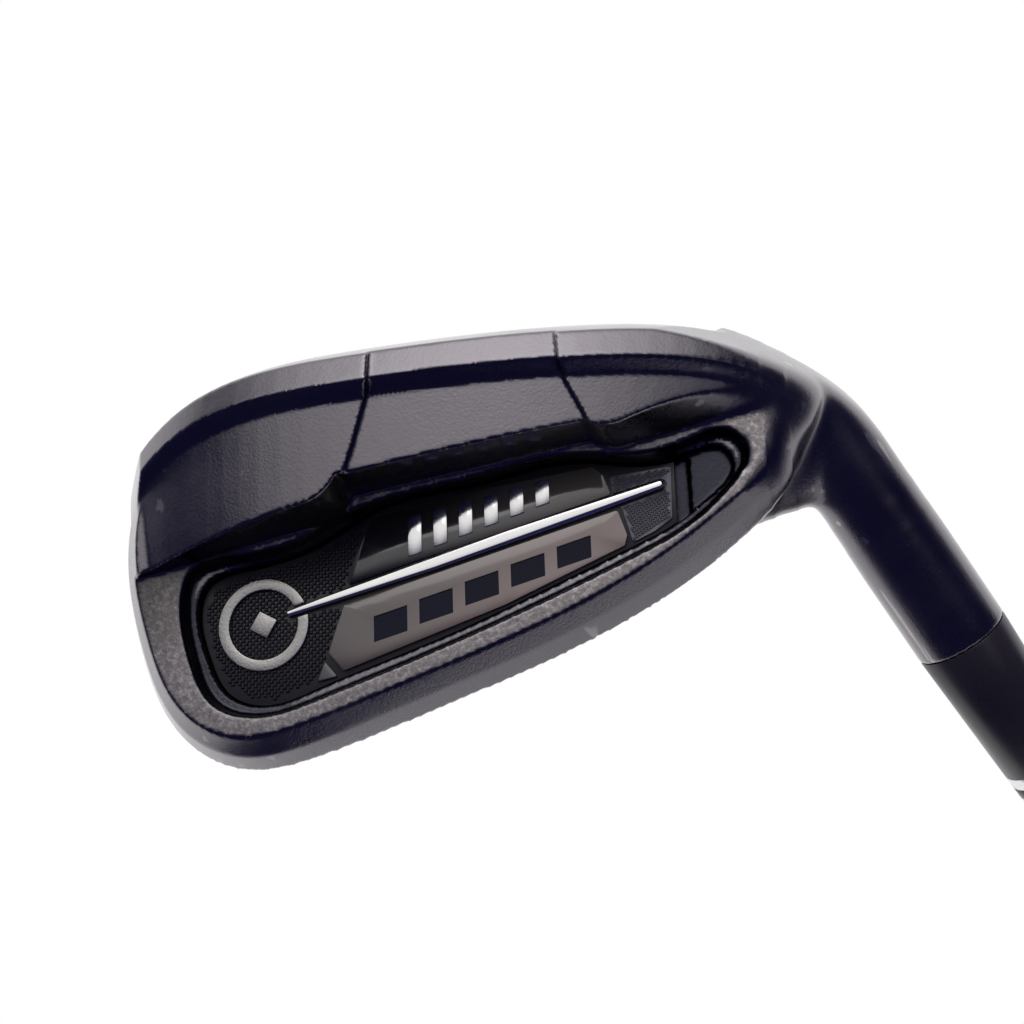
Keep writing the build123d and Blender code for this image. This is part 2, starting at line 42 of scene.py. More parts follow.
# Blade frame: U from heel to toe, W up the face, B out of the back of the head.
U = Vector((-0.88295, 0.0, 0.46947))
W = Vector((-0.40242, -0.51504, -0.75684))
B = Vector((0.24180, -0.85717, 0.45476))
FACE_ORIGIN = Vector((0.0, 2.3, 946.0)) * MM


def on_face(toe, up, out):
    """Point in metres from blade coordinates in millimetres."""
    return FACE_ORIGIN + (U * toe + W * up + B * out) * MM


# ---------------------------------------------------------------------------
# Shared shader groups: blade coordinates, grain and wear
# ---------------------------------------------------------------------------
def new_group(name, inputs, outputs):
    """Empty node group with the given sockets; returns it with its input and output nodes."""
    group = bpy.data.node_groups.new(name, "ShaderNodeTree")
    for label, kind in inputs:
        group.interface.new_socket(name=label, in_out="INPUT", socket_type=kind)
    for label, kind in outputs:
        group.interface.new_socket(name=label, in_out="OUTPUT", socket_type=kind)
    return group, group.nodes.new("NodeGroupInput"), group.nodes.new("NodeGroupOutput")


def node(tree, kind, settings=None, values=None):
    """New shader node with its properties and its constant socket values."""
    made = tree.nodes.new(kind)
    for key, value in (settings or {}).items():
        setattr(made, key, value)
    for key, value in (values or {}).items():
        made.inputs[key].default_value = value
    return made


def ramp(tree, stops):
    """Colour ramp with (position, grey or colour) stops."""
    made = tree.nodes.new("ShaderNodeValToRGB")
    while len(made.color_ramp.elements) < len(stops):
        made.color_ramp.elements.new(0.5)
    for element, (position, colour) in zip(made.color_ramp.elements, stops):
        element.position = position
        element.color = (*colour, 1.0) if isinstance(colour, tuple) else (colour, colour, colour, 1.0)
    return made


# Height above the face plane in millimetres, how squarely a surface faces the back, and the object place.
blade_group, _, blade_out = new_group(
    "Blade height", [], [("Height", "NodeSocketFloat"), ("Flat", "NodeSocketFloat"),
                         ("Place", "NodeSocketVector")])
place = node(blade_group, "ShaderNodeTexCoord")
shifted = node(blade_group, "ShaderNodeVectorMath", {"operation": "SUBTRACT"})
shifted.inputs[1].default_value = FACE_ORIGIN
height = node(blade_group, "ShaderNodeVectorMath", {"operation": "DOT_PRODUCT"})
height.inputs[1].default_value = B * 1000.0
surface = node(blade_group, "ShaderNodeNewGeometry")
flat = node(blade_group, "ShaderNodeVectorMath", {"operation": "DOT_PRODUCT"})
flat.inputs[1].default_value = B
blade_group.links.new(place.outputs["Object"], shifted.inputs[0])
blade_group.links.new(shifted.outputs[0], height.inputs[0])
blade_group.links.new(surface.outputs["Normal"], flat.inputs[0])
blade_group.links.new(height.outputs["Value"], blade_out.inputs["Height"])
blade_group.links.new(flat.outputs["Value"], blade_out.inputs["Flat"])
blade_group.links.new(place.outputs["Object"], blade_out.inputs["Place"])

# Handling marks: soft smears, a fine grain and thin scratches along a chosen stretch.
marks_group, marks_in, marks_out = new_group(
    "Handling marks", [("Stretch", "NodeSocketVector")],
    [("Smears", "NodeSocketFloat"), ("Grain", "NodeSocketFloat"), ("Scratches", "NodeSocketFloat")])
marks_place = node(marks_group, "ShaderNodeTexCoord")
smears = node(marks_group, "ShaderNodeTexNoise", None, {"Scale": 70.0, "Detail": 5.0, "Roughness": 0.6})
grain = node(marks_group, "ShaderNodeTexNoise", None, {"Scale": 2600.0, "Detail": 3.0, "Roughness": 0.7})
stretched = node(marks_group, "ShaderNodeVectorMath", {"operation": "MULTIPLY"})
scratch_noise = node(marks_group, "ShaderNodeTexNoise", None,
                     {"Scale": 5200.0, "Detail": 1.0, "Distortion": 0.3})
scratch_lines = ramp(marks_group, [(0.0, 0.0), (0.77, 0.0), (0.83, 1.0)])
marks_group.links.new(marks_place.outputs["Object"], smears.inputs["Vector"])
marks_group.links.new(marks_place.outputs["Object"], grain.inputs["Vector"])
marks_group.links.new(marks_place.outputs["Object"], stretched.inputs[0])
marks_group.links.new(marks_in.outputs["Stretch"], stretched.inputs[1])
marks_group.links.new(stretched.outputs[0], scratch_noise.inputs["Vector"])
marks_group.links.new(scratch_noise.outputs["Fac"], scratch_lines.inputs["Fac"])
marks_group.links.new(smears.outputs["Fac"], marks_out.inputs["Smears"])
marks_group.links.new(grain.outputs["Fac"], marks_out.inputs["Grain"])
marks_group.links.new(scratch_lines.outputs["Color"], marks_out.inputs["Scratches"])


Finish = namedtuple("Finish", "material tree shader marks scratched rough")


def surface_material(name, colour, metallic, roughness, spread=0.06, bump=0.02, stretch=(1.0, 1.0, 0.08),
                     scratch_colour=None, coat=0.0, tint=0.15):
    """Principled material varied by the handling marks, with the nodes that its user may build on."""
    made = bpy.data.materials.new(name)
    made.use_nodes = True
    tree = made.node_tree
    shader = tree.nodes["Principled BSDF"]
    shader.inputs["Metallic"].default_value = metallic
    shader.inputs["Coat Weight"].default_value = coat
    shader.inputs["Coat Roughness"].default_value = 0.08
    marks = node(tree, "ShaderNodeGroup", {"node_tree": marks_group}, {"Stretch": stretch})
    # Colour: the base, a little darker in smears, and lighter in scratches.
    shade = node(tree, "ShaderNodeMix", {"data_type": "RGBA"})
    shade.inputs["A"].default_value = (*[c * (1.0 - tint) for c in colour], 1.0)
    shade.inputs["B"].default_value = (*[min(1.0, c * (1.0 + tint)) for c in colour], 1.0)
    tree.links.new(marks.outputs["Smears"], shade.inputs["Factor"])
    scratched = node(tree, "ShaderNodeMix", {"data_type": "RGBA"})
    light = scratch_colour or tuple(min(1.0, c * 1.5 + 0.02) for c in colour)
    scratched.inputs["B"].default_value = (*light, 1.0)
    weak = node(tree, "ShaderNodeMath", {"operation": "MULTIPLY"}, {1: 0.3})
    tree.links.new(marks.outputs["Scratches"], weak.inputs[0])
    tree.links.new(weak.outputs[0], scratched.inputs["Factor"])
    tree.links.new(shade.outputs["Result"], scratched.inputs["A"])
    tree.links.new(scratched.outputs["Result"], shader.inputs["Base Color"])
    # Roughness: smears and scratches dull the surface.
    rough = node(tree, "ShaderNodeMapRange", None,
                 {"From Min": 0.3, "From Max": 0.7, "To Min": roughness - spread,
                  "To Max": roughness + spread})
    tree.links.new(marks.outputs["Smears"], rough.inputs["Value"])
    tree.links.new(rough.outputs["Result"], shader.inputs["Roughness"])
    relief = node(tree, "ShaderNodeBump", None, {"Strength": bump, "Distance": 0.0002})
    tree.links.new(marks.outputs["Grain"], relief.inputs["Height"])
    tree.links.new(relief.outputs["Normal"], shader.inputs["Normal"])
    return Finish(made, tree, shader, marks, scratched, rough)


def finish_piece(obj, material, cad_nodes, smooth_angle=40.0):
    """Gives a piece its material, shading, material slot and place on the CAD body."""
    obj.data.materials.clear()
    obj.data.materials.append(material)
    for polygon in obj.data.polygons:
        polygon.use_smooth = True
    obj.data.set_sharp_from_angle(angle=math.radians(smooth_angle))
    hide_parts(*cad_nodes)
    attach(obj, "root")
    return obj


def merged_copy(cad_node):
    """bmesh of a CAD node with its doubled vertices merged."""
    mesh = bmesh.new()
    mesh.from_mesh(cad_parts[cad_node].data)
    bmesh.ops.remove_doubles(mesh, verts=mesh.verts, dist=0.000002)
    return mesh


def to_object(mesh, name):
    """Linked object made from a bmesh, which is freed."""
    data = bpy.data.meshes.new(name)
    mesh.to_mesh(data)
    mesh.free()
    obj = bpy.data.objects.new(name, data)
    bpy.context.scene.collection.objects.link(obj)
    return obj


# ---------------------------------------------------------------------------
# Head: one investment casting of stainless steel under a glossy black plating.
# The casting's edges are rounded, and the ridges are worn to bare steel.
# ---------------------------------------------------------------------------
HEAD_VOXEL = 0.27
HEAD_TRIANGLES = 190000.0
head = to_object(merged_copy("head_body"), "head_casting")
remesh = head.modifiers.new("Even mesh", "REMESH")
remesh.mode = "VOXEL"
remesh.voxel_size = HEAD_VOXEL * MM
bpy.context.view_layer.update()
even = bpy.data.meshes.new_from_object(head.evaluated_get(bpy.context.evaluated_depsgraph_get()))
head.modifiers.clear()
head.data = even

shape = bmesh.new()
shape.from_mesh(head.data)


def blade_place(point):
    """Blade coordinates of a point, in millimetres."""
    offset = (point - FACE_ORIGIN) * 1000.0
    return offset.dot(U), offset.dot(W), offset.dot(B)


# The score lines are filled here and cut again sharply below.
for vert in shape.verts:
    toe, up, out = blade_place(vert.co)
    if 14.0 < toe < 68.0 and 6.0 < up < 42.5 and out < 0.8:
        vert.co -= B * out * MM
NECK_PASSES = [(200.0, 3, 200.0), (7.0, 1, 44.0), (5.0, 2, 44.0), (3.5, 3, 44.0), (2.0, 5, 44.0),
               (0.5, 9, 43.0),
               (-1.0, 16, 42.0), (-2.5, 30, 41.0), (-4.0, 80, 39.0), (-7.0, 70, 35.0)]
for toe_limit, passes, hosel_limit in NECK_PASSES:
    chosen = []
    for vert in shape.verts:
        toe, up, out = blade_place(vert.co)
        on_floor = toe > -1.0 and 22.0 < up < 36.0 and out > 3.0
        if toe < toe_limit and 0.946 - vert.co.z < hosel_limit * MM and not (on_floor and toe_limit < 100.0):
            chosen.append(vert)
    for step in range(passes):
        bmesh.ops.smooth_vert(shape, verts=chosen, factor=0.5, use_axis_x=True, use_axis_y=True,
                              use_axis_z=True)
shape.to_mesh(head.data)
shape.free()
fewer = head.modifiers.new("Fewer faces", "DECIMATE")
fewer.ratio = min(1.0, HEAD_TRIANGLES / (2 * len(head.data.polygons)))
bpy.context.view_layer.update()
lighter = bpy.data.meshes.new_from_object(head.evaluated_get(bpy.context.evaluated_depsgraph_get()))
head.modifiers.clear()
head.data = lighter

# Score lines: ten milled grooves across the face.
SCORE_LINES, SCORE_SPACING, SCORE_FIRST = 10, 3.6, 8.0
grooves = bmesh.new()
blade_turn = Matrix((U, W, B)).transposed().to_4x4()
for line in range(SCORE_LINES):
    size = Matrix.Diagonal((50.0 * MM, 0.8 * MM, 0.8 * MM, 1.0))
    centre = Matrix.Translation(on_face(41.0, SCORE_FIRST + SCORE_SPACING * line, 0.0))
    bmesh.ops.create_cube(grooves, size=1.0, matrix=centre @ blade_turn @ size)
groove_tool = to_object(grooves, "score_line_tool")
cut = head.modifiers.new("Score lines", "BOOLEAN")
cut.operation = "DIFFERENCE"
cut.solver = "EXACT"
cut.object = groove_tool
bpy.context.view_layer.update()
grooved = bpy.data.meshes.new_from_object(head.evaluated_get(bpy.context.evaluated_depsgraph_get()))
head.modifiers.clear()
head.data = grooved
bpy.data.objects.remove(groove_tool)

plating = surface_material(
    "Black plating", (0.160, 0.148, 0.165), 1.0, 0.26, spread=0.08, bump=0.22,
    stretch=(0.35, 1.0, 0.2), scratch_colour=(0.30, 0.29, 0.30), coat=0.6, tint=0.2)
tree = plating.tree
blade = node(tree, "ShaderNodeGroup", {"node_tree": blade_group})
edges = node(tree, "ShaderNodeNewGeometry")
worn = ramp(tree, [(0.0, 0.0), (0.518, 0.0), (0.570, 1.0)])
tree.links.new(edges.outputs["Pointiness"], worn.inputs["Fac"])
patchy = node(tree, "ShaderNodeMapRange", None,
              {"From Min": 0.38, "From Max": 0.60, "To Min": 0.25, "To Max": 1.0})
tree.links.new(plating.marks.outputs["Smears"], patchy.inputs["Value"])
wear = node(tree, "ShaderNodeMath", {"operation": "MULTIPLY"})
tree.links.new(worn.outputs["Color"], wear.inputs[0])
tree.links.new(patchy.outputs["Result"], wear.inputs[1])
bare = node(tree, "ShaderNodeMix", {"data_type": "RGBA"})
bare.inputs["B"].default_value = (0.38, 0.355, 0.36, 1.0)
tree.links.new(wear.outputs[0], bare.inputs["Factor"])
tree.links.new(plating.scratched.outputs["Result"], bare.inputs["A"])
# The flat ledge round the cavity is rubbed grey, and that grey is darkened towards the toe end as painted
# shade.
LEDGE_HEIGHT = 6.5
near_ledge = node(tree, "ShaderNodeMath", {"operation": "COMPARE"}, {1: LEDGE_HEIGHT, 2: 0.35})
tree.links.new(blade.outputs["Height"], near_ledge.inputs[0])
facing = node(tree, "ShaderNodeMapRange", None, {"From Min": 0.93, "From Max": 0.99})
tree.links.new(blade.outputs["Flat"], facing.inputs["Value"])
ledge = node(tree, "ShaderNodeMath", {"operation": "MULTIPLY"})
tree.links.new(near_ledge.outputs[0], ledge.inputs[0])
tree.links.new(facing.outputs["Result"], ledge.inputs[1])
ledge_grain = node(tree, "ShaderNodeTexNoise", None, {"Scale": 1500.0, "Detail": 6.0, "Roughness": 0.75})
tree.links.new(blade.outputs["Place"], ledge_grain.inputs["Vector"])
ledge_tone = ramp(tree,
                  [(0.30, (0.085, 0.075, 0.082)), (0.52, (0.20, 0.18, 0.185)), (0.70, (0.42, 0.39, 0.39))])
tree.links.new(ledge_grain.outputs["Fac"], ledge_tone.inputs["Fac"])
rubbed_and_painted_shade = node(tree, "ShaderNodeMix", {"data_type": "RGBA"})
along = node(tree, "ShaderNodeVectorMath", {"operation": "SUBTRACT"})
along.inputs[1].default_value = FACE_ORIGIN
diagonal = node(tree, "ShaderNodeVectorMath", {"operation": "DOT_PRODUCT"})
diagonal.inputs[1].default_value = (W - U) * 1000.0
tree.links.new(blade.outputs["Place"], along.inputs[0])
tree.links.new(along.outputs[0], diagonal.inputs[0])
# Painted shade: the ledge grey is scaled down towards the toe end and the sole side.
toe_end_painted_shade = node(tree, "ShaderNodeMapRange", None,
              {"From Min": -46.0, "From Max": -26.0, "To Min": 0.12, "To Max": 1.0})
tree.links.new(diagonal.outputs["Value"], toe_end_painted_shade.inputs["Value"])
ledge_tone_with_painted_shade = node(tree, "ShaderNodeVectorMath", {"operation": "SCALE"})
tree.links.new(ledge_tone.outputs["Color"], ledge_tone_with_painted_shade.inputs[0])
tree.links.new(toe_end_painted_shade.outputs["Result"], ledge_tone_with_painted_shade.inputs["Scale"])
tree.links.new(ledge_tone_with_painted_shade.outputs[0], rubbed_and_painted_shade.inputs["B"])
tree.links.new(ledge.outputs[0], rubbed_and_painted_shade.inputs["Factor"])
tree.links.new(bare.outputs["Result"], rubbed_and_painted_shade.inputs["A"])
dull = node(tree, "ShaderNodeMath", {"operation": "MULTIPLY_ADD"}, {1: 0.14})
tree.links.new(ledge.outputs[0], dull.inputs[0])
tree.links.new(plating.rough.outputs["Result"], dull.inputs[2])
tree.links.new(dull.outputs[0], plating.shader.inputs["Roughness"])
# The floor of the cavity keeps its black finish.
low = node(tree, "ShaderNodeMath", {"operation": "COMPARE"}, {1: 3.2, 2: 1.1})
tree.links.new(blade.outputs["Height"], low.inputs[0])
floor_only = node(tree, "ShaderNodeMath", {"operation": "MULTIPLY"})
tree.links.new(low.outputs[0], floor_only.inputs[0])
tree.links.new(facing.outputs["Result"], floor_only.inputs[1])
# Painted shade: its walls below the ledge, turned towards the middle of the cavity, get the same near-black
# colour, standing in for the shade the pads throw on them.
from_middle = node(tree, "ShaderNodeVectorMath", {"operation": "SUBTRACT"})
from_middle.inputs[1].default_value = on_face(38.0, 37.0, 5.0)
tree.links.new(blade.outputs["Place"], from_middle.inputs[0])
turned = node(tree, "ShaderNodeVectorMath", {"operation": "DOT_PRODUCT"})
tree.links.new(edges.outputs["Normal"], turned.inputs[0])
tree.links.new(from_middle.outputs[0], turned.inputs[1])
inward = node(tree, "ShaderNodeMapRange", None, {"From Min": -0.0010, "From Max": -0.0035})
tree.links.new(turned.outputs["Value"], inward.inputs["Value"])
below = node(tree, "ShaderNodeMapRange", None, {"From Min": 6.55, "From Max": 6.25})
tree.links.new(blade.outputs["Height"], below.inputs["Value"])
reach = node(tree, "ShaderNodeVectorMath", {"operation": "LENGTH"})
tree.links.new(from_middle.outputs[0], reach.inputs[0])
near = node(tree, "ShaderNodeMath", {"operation": "LESS_THAN"}, {1: 0.042})
tree.links.new(reach.outputs["Value"], near.inputs[0])
inner = node(tree, "ShaderNodeMath", {"operation": "MULTIPLY"})
tree.links.new(inward.outputs["Result"], inner.inputs[0])
tree.links.new(near.outputs[0], inner.inputs[1])
painted_wall_shade = node(tree, "ShaderNodeMath", {"operation": "MULTIPLY"})
tree.links.new(inner.outputs[0], painted_wall_shade.inputs[0])
tree.links.new(below.outputs["Result"], painted_wall_shade.inputs[1])
black_floor_and_wall_shade = node(tree, "ShaderNodeMath", {"operation": "MAXIMUM"})
tree.links.new(floor_only.outputs[0], black_floor_and_wall_shade.inputs[0])
tree.links.new(painted_wall_shade.outputs[0], black_floor_and_wall_shade.inputs[1])
# Near-black colour: the floor's own black finish, and painted shade on the walls.
black_floor_and_shaded_walls = node(tree, "ShaderNodeMix", {"data_type": "RGBA"})
black_floor_and_shaded_walls.inputs["B"].default_value = (0.03, 0.03, 0.04, 1.0)
tree.links.new(black_floor_and_wall_shade.outputs[0], black_floor_and_shaded_walls.inputs["Factor"])
tree.links.new(rubbed_and_painted_shade.outputs["Result"], black_floor_and_shaded_walls.inputs["A"])
tree.links.new(black_floor_and_shaded_walls.outputs["Result"], plating.shader.inputs["Base Color"])
no_coat = node(tree, "ShaderNodeMapRange", None, {"To Min": 0.6, "To Max": 0.1})
tree.links.new(black_floor_and_wall_shade.outputs[0], no_coat.inputs["Value"])
tree.links.new(no_coat.outputs["Result"], plating.shader.inputs["Coat Weight"])
finish_piece(head, plating.material, ["head_body"], 60.0)


# ---------------------------------------------------------------------------
# Badge adhesive: thin cured film between the cavity floor and the damper.
# ---------------------------------------------------------------------------
def trimmed(cad_node, name, width, segments=2, angle=25.0):
    """Copy of a CAD piece with its faces joined up and its sharp edges rounded."""
    mesh = merged_copy(cad_node)
    bmesh.ops.dissolve_limit(mesh, angle_limit=math.radians(1.0), verts=mesh.verts, edges=mesh.edges,
                             delimit={"NORMAL"})
    if width:
        sharp = [edge for edge in mesh.edges
                 if len(edge.link_faces) == 2 and edge.calc_face_angle(0.0) > math.radians(angle)]
        bmesh.ops.bevel(mesh, geom=sharp, offset=width * MM, offset_type="OFFSET", segments=segments,
                        profile=0.5, affect="EDGES", clamp_overlap=True, material=-1)
    bmesh.ops.triangulate(mesh, faces=[face for face in mesh.faces if len(face.verts) > 4])
    bmesh.ops.recalc_face_normals(mesh, faces=mesh.faces)
    return to_object(mesh, name)


film = surface_material("Cured adhesive", (0.55, 0.50, 0.38), 0.0, 0.5).material
finish_piece(trimmed("badge_adhesive", "badge_adhesive_film", 0), film, ["badge_adhesive"])

# ---------------------------------------------------------------------------
# Badge damper: moulded dark elastomer plate bonded in the cavity.
# Its toe end carries a knurl of small diamond points, cut round the hard trim.
# ---------------------------------------------------------------------------
damper = trimmed("badge_damper", "badge_damper_plate", 0.12)
elastomer = surface_material("Dark elastomer", (0.018, 0.017, 0.022), 0.0, 0.38, spread=0.05,
                             bump=0.1).material
finish_piece(damper, elastomer, ["badge_damper"])

BADGE_TOP = 3.6
TOE_KNURL = [(48.9, 29.6), (51.9, 38.6), (56.2, 40.2), (52.1, 41.4), (55.4, 50.2), (61.0, 52.3), (64.6, 51.9),
             (67.4, 49.6), (69.0, 46.4), (70.3, 41.6), (70.4, 39.0), (68.9, 37.2), (65.0, 35.9), (56.2, 34.1),
             (51.5, 31.7)]
HEEL_KNURL = [(16.0, 26.9), (15.6, 29.0), (14.4, 31.2), (13.4, 35.1), (10.9, 33.9), (8.8, 32.4), (8.6, 26.2)]


def inside(point, outline):
    """Whether a point lies within a closed outline."""
    hit = False
    for (x1, y1), (x2, y2) in zip(outline, outline[1:] + outline[:1]):
        if (y1 > point[1]) != (y2 > point[1]) and point[0] < (x2 - x1) * (point[1] - y1) / (y2 - y1) + x1:
            hit = not hit
    return hit


def bar_line(toe):
    """Height up the face of the middle of the bar."""
    return 41.3 - 0.2642 * (59.0 - toe)


def knurl(name, outline, pitch, rise, base, turn, sides):
    """Field of small points on a plane parallel to the face, within an outline and clear of the bar."""
    mesh = bmesh.new()
    cos_t, sin_t = math.cos(math.radians(turn)), math.sin(math.radians(turn))
    centre = (sum(p[0] for p in outline) / len(outline), sum(p[1] for p in outline) / len(outline))
    twist = Matrix.Rotation(math.radians(turn), 4, "Z")
    for row in range(-40, 41):
        for column in range(-40, 41):
            across, along = column * pitch, row * pitch
            toe = centre[0] + across * cos_t - along * sin_t
            up = centre[1] + across * sin_t + along * cos_t
            if not inside((toe, up), outline) or (toe < 59.6 and abs(up - bar_line(toe)) < 1.15):
                continue
            place = Matrix.Translation(on_face(toe, up, base + rise / 2)) @ blade_turn @ twist
            bmesh.ops.create_cone(mesh, segments=sides, radius1=pitch * 0.66 * MM, radius2=pitch * 0.18 * MM,
                                  depth=rise * MM, cap_ends=True, matrix=place)
    return to_object(mesh, name)


toe_points = knurl("badge_toe_knurl", TOE_KNURL, 0.62, 0.22, BADGE_TOP - 0.02, 45.0, 4)
knurl_black = surface_material("Knurled elastomer", (0.014, 0.014, 0.020), 0.0, 0.30, spread=0.04).material
toe_points.data.materials.append(knurl_black)
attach(toe_points, "root")

# ---------------------------------------------------------------------------
# Sole-side plate: smoked gloss trim with raised bright bars, its colour painted darker towards the toe as
# shade.
# ---------------------------------------------------------------------------
def shade_fading_plate(name, near, far, toe_near, toe_far, roughness):
    """Gloss plastic whose colour runs from one end of the badge to the other: painted shade and sheen over
    the plate's own colour.
    """
    gloss = surface_material(name, near, 0.0, roughness, spread=0.03, bump=0.01, coat=0.8, tint=0.1)
    tree = gloss.tree
    place = node(tree, "ShaderNodeTexCoord")
    shift = node(tree, "ShaderNodeVectorMath", {"operation": "SUBTRACT"})
    shift.inputs[1].default_value = FACE_ORIGIN
    toe = node(tree, "ShaderNodeVectorMath", {"operation": "DOT_PRODUCT"})
    toe.inputs[1].default_value = U * 1000.0
    # Painted shade and sheen: the colour runs from the near colour to the far colour along the toe direction.
    share = node(tree, "ShaderNodeMapRange", {"interpolation_type": "SMOOTHSTEP"},
                 {"From Min": toe_near, "From Max": toe_far})
    painted_shade_fade = node(tree, "ShaderNodeMix", {"data_type": "RGBA"})
    painted_shade_fade.inputs["B"].default_value = (*far, 1.0)
    tree.links.new(place.outputs["Object"], shift.inputs[0])
    tree.links.new(shift.outputs[0], toe.inputs[0])
    tree.links.new(toe.outputs["Value"], share.inputs["Value"])
    tree.links.new(share.outputs["Result"], painted_shade_fade.inputs["Factor"])
    tree.links.new(gloss.scratched.outputs["Result"], painted_shade_fade.inputs["A"])
    tree.links.new(painted_shade_fade.outputs["Result"], gloss.shader.inputs["Base Color"])
    return gloss.material


# Painted shade: the plate darkens towards the toe end.
smoked = shade_fading_plate("Smoked gloss with painted shade", (0.13, 0.115, 0.098), (0.018, 0.016, 0.020), 18.0, 46.0, 0.16)
finish_piece(trimmed("badge_sole_side_plate", "badge_plate_sole_side", 0.09), smoked,
             ["badge_sole_side_plate"])

bright = surface_material("Bright plating", (0.78, 0.77, 0.76), 1.0, 0.14, spread=0.05, bump=0.03,
                          scratch_colour=(0.45, 0.44, 0.44)).material
finish_piece(trimmed("badge_sole_side_marks", "badge_bars_sole_side", 0.05), bright,
             ["badge_sole_side_marks"])

# ---------------------------------------------------------------------------
# Topline-side plate: bronze-smoked gloss trim with dark filled pockets; its colour is painted lighter at the
# heel end and darker at the toe, as sheen and shade.
# ---------------------------------------------------------------------------
# Painted sheen and shade: lighter towards the heel end, darker towards the toe end.
bronze = shade_fading_plate("Bronze gloss with painted sheen and shade", (0.33, 0.245, 0.215), (0.115, 0.086, 0.080), 20.0, 54.0, 0.18)
finish_piece(trimmed("badge_topline_side_plate", "badge_plate_topline_side", 0.07), bronze,
             ["badge_topline_side_plate"])
fill = surface_material("Dark paint fill", (0.012, 0.014, 0.030), 0.0, 0.5, spread=0.05)
fill.shader.inputs["Specular IOR Level"].default_value = 0.15
finish_piece(trimmed("badge_topline_side_marks", "badge_fills_topline_side", 0), fill.material,
             ["badge_topline_side_marks"])

# ---------------------------------------------------------------------------
# Bar: bright plated strip between the plates, widest near its middle.
# ---------------------------------------------------------------------------
finish_piece(trimmed("badge_bar", "badge_bright_bar", 0.06, 2, 12.0), bright, ["badge_bar"])

# ---------------------------------------------------------------------------
# Heel panel: thin dotted grey trim beside the plates, and the small corner wedge.
# ---------------------------------------------------------------------------
grey = surface_material("Dark satin trim", (0.13, 0.128, 0.145), 0.6, 0.36, spread=0.05, bump=0.05).material
heel_panel = trimmed("badge_heel_panel", "badge_heel_trim", 0.06)
finish_piece(heel_panel, grey, ["badge_heel_panel"])
heel_points = knurl("badge_heel_knurl", HEEL_KNURL, 0.42, 0.10, BADGE_TOP + 0.29, 30.0, 6)
heel_points.data.materials.append(grey)
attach(heel_points, "root")
wedge_black = surface_material("Dark gloss wedge", (0.035, 0.032, 0.038), 0.3, 0.25, coat=0.5).material
finish_piece(trimmed("badge_corner_wedge", "badge_wedge", 0.08), wedge_black, ["badge_corner_wedge"])

# ---------------------------------------------------------------------------
# Emblem: an open bright ring with a square core, standing on the knurled toe end.
# ---------------------------------------------------------------------------
aged = surface_material("Aged bright plating", (0.34, 0.33, 0.32), 1.0, 0.26, spread=0.10, bump=0.25,
                        scratch_colour=(0.7, 0.69, 0.66), tint=0.35).material
finish_piece(trimmed("badge_emblem_ring", "badge_ring", 0.14, 3), aged, ["badge_emblem_ring"])
finish_piece(trimmed("badge_emblem_core", "badge_core", 0.14, 3), aged, ["badge_emblem_core"])


# ---------------------------------------------------------------------------
# Ferrule: turned black plastic sleeve, polished with the hosel, and its two rings.
# ---------------------------------------------------------------------------
LATHE_STEPS = 96


def lathe(name, profile):
    """Turned piece about the shaft axis from a closed profile of (radius, height) in millimetres."""
    mesh = bmesh.new()
    verts = [mesh.verts.new((radius * MM, 0.0, level * MM)) for radius, level in profile]
    outline = [mesh.edges.new((a, b)) for a, b in zip(verts, verts[1:] + verts[:1])]
    bmesh.ops.spin(mesh, geom=verts + outline, cent=(0, 0, 0), axis=(0, 0, 1), angle=2 * math.pi,
                   steps=LATHE_STEPS, use_merge=True, use_duplicate=False)
    bmesh.ops.remove_doubles(mesh, verts=mesh.verts, dist=0.000001)
    bmesh.ops.recalc_face_normals(mesh, faces=mesh.faces)
    return to_object(mesh, name)


HOSEL_END = 888.6
FERRULE_START = 861.0


def ferrule_radius(level):
    """Outer radius of the ferrule at a height."""
    return 6.5 - 1.05 * (HOSEL_END - level) / (HOSEL_END - FERRULE_START)


RINGS = [(866.6, 868.4), (863.1, 864.9)]
ferrule_profile = [(4.7, 888.58), (6.36, 888.58), (ferrule_radius(888.3), 888.3)]
for low, high in RINGS:
    ferrule_profile += [(ferrule_radius(high + 0.1), high + 0.1), (ferrule_radius(high) - 0.08, high),
                        (ferrule_radius(high) - 0.6, high), (ferrule_radius(low) - 0.6, low),
                        (ferrule_radius(low) - 0.08, low), (ferrule_radius(low - 0.1), low - 0.1)]
ferrule_profile += [(ferrule_radius(861.4), 861.4), (ferrule_radius(861.0) - 0.3, 861.05), (4.7, 861.05)]
black_gloss = surface_material("Black polished plastic", (0.034, 0.029, 0.040), 0.0, 0.30, spread=0.08,
                               bump=0.04, stretch=(1.0, 1.0, 0.3), scratch_colour=(0.10, 0.10, 0.11)).material
finish_piece(lathe("ferrule_sleeve", ferrule_profile), black_gloss, ["ferrule"])
for (low, high), cad_node, name in zip(RINGS, ("ferrule_ring_head", "ferrule_ring_shaft"),
                                       ("ring_a", "ring_b")):
    ring_profile = [(ferrule_radius(high) - 0.6, high), (ferrule_radius(high) - 0.1, high),
                    (ferrule_radius(high) + 0.02, high - 0.15), (ferrule_radius(low) + 0.02, low + 0.15),
                    (ferrule_radius(low) - 0.1, low), (ferrule_radius(low) - 0.6, low)]
    finish_piece(lathe("ferrule_" + name, ring_profile), bright, [cad_node])

